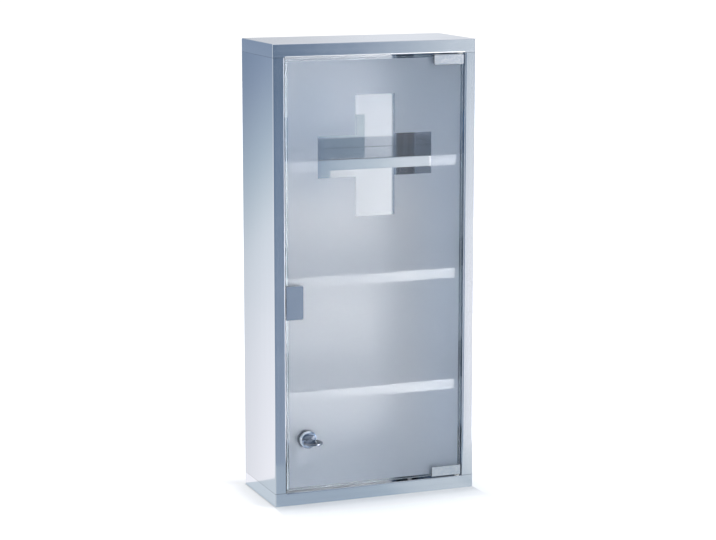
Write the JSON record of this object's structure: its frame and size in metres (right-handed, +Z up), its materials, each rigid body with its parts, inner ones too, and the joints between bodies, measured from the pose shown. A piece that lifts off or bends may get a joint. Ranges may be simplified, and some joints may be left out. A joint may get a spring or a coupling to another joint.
{
  "type": "medicine cabinet",
  "caption": "Tall narrow steel wall cabinet with an inset frosted glass door, clear cross, shelves, pivot clips, magnet catch and keyed cam lock.",
  "frame": {"origin": "middle of the casing's base, on the surface that it stands on", "axes": "+X to the right seen from the front, +Y to the wall, +Z up; the door faces -Y"},
  "size_m": [0.28, 0.1575, 0.6],
  "materials": {
    "casing_steel": "polished stainless steel with fine upright grain",
    "back_steel": "mirror-polished stainless steel sheet",
    "shelf_steel": "polished stainless steel, fine grain along the lip",
    "rest_steel": "satin stainless steel",
    "frosted_glass": "toughened glass, sand-blasted on the rear but for a cross",
    "clip_satin": "satin chromed zinc casting",
    "keeper_steel": "satin ferritic steel",
    "liner_soft": "clear grey soft plastic strip, matte",
    "pin_steel": "ground steel",
    "bush_nylon": "natural nylon",
    "screw_steel": "zinc-plated steel",
    "bracket_steel": "satin stainless steel",
    "catch_plastic": "white moulded plastic",
    "magnet_ferrite": "dark grey ferrite, matte",
    "pole_steel": "zinc-plated steel",
    "lock_chrome": "polished chrome on zinc",
    "gasket_rubber": "black rubber, matte",
    "washer_plastic": "black nylon",
    "nut_nickel": "nickel-plated brass",
    "cam_steel": "zinc-plated steel",
    "key_nickel": "nickel-plated brass, lightly worn"
  },
  "bodies": {
    "casing": {"top_cap": "casing_steel", "bottom_cap": "casing_steel", "left_side_panel": "casing_steel", "right_side_panel": "casing_steel", "back_panel": "back_steel", "lower_shelf": "shelf_steel", "middle_shelf": "shelf_steel", "upper_shelf": "shelf_steel", "lower_shelf_left_rest": "rest_steel", "lower_shelf_right_rest": "rest_steel", "middle_shelf_left_rest": "rest_steel", "middle_shelf_right_rest": "rest_steel", "upper_shelf_left_rest": "rest_steel", "upper_shelf_right_rest": "rest_steel", "upper_hinge_bush": "bush_nylon", "lower_hinge_bush": "bush_nylon", "catch_screws": "screw_steel", "catch_bracket": "bracket_steel", "catch_housing": "catch_plastic", "catch_magnet": "magnet_ferrite", "catch_pole_plates": "pole_steel"},
    "door": {"door_glass": "frosted_glass", "upper_hinge_clip": "clip_satin", "lower_hinge_clip": "clip_satin", "upper_hinge_liner": "liner_soft", "lower_hinge_liner": "liner_soft", "hinge_grub_screws": "screw_steel", "upper_hinge_pin": "pin_steel", "lower_hinge_pin": "pin_steel", "keeper_plate": "keeper_steel", "keeper_liner": "liner_soft", "lock_housing": "lock_chrome", "lock_gasket": "gasket_rubber", "lock_washer": "washer_plastic", "lock_nut": "nut_nickel"},
    "plug": {"lock_plug": "lock_chrome", "lock_cam": "cam_steel", "cam_screw": "screw_steel"},
    "key": {"key": "key_nickel"}
  },
  "joints": [
    {"name": "door_hinge", "type": "hinge", "parent": "casing", "child": "door", "pos_m": [0.118, -0.0585, 0.3], "axis": [0, 0, 1], "range_deg": [0, 110]},
    {"name": "lock_turn", "type": "hinge", "parent": "door", "child": "plug", "pos_m": [-0.095, -0.0605, 0.087], "axis": [0, 1, 0], "range_deg": [0, 90]},
    {"name": "key_slide", "type": "slide", "parent": "plug", "child": "key", "axis": [0, -1, 0], "range_m": [0, 0.017]}
  ]
}
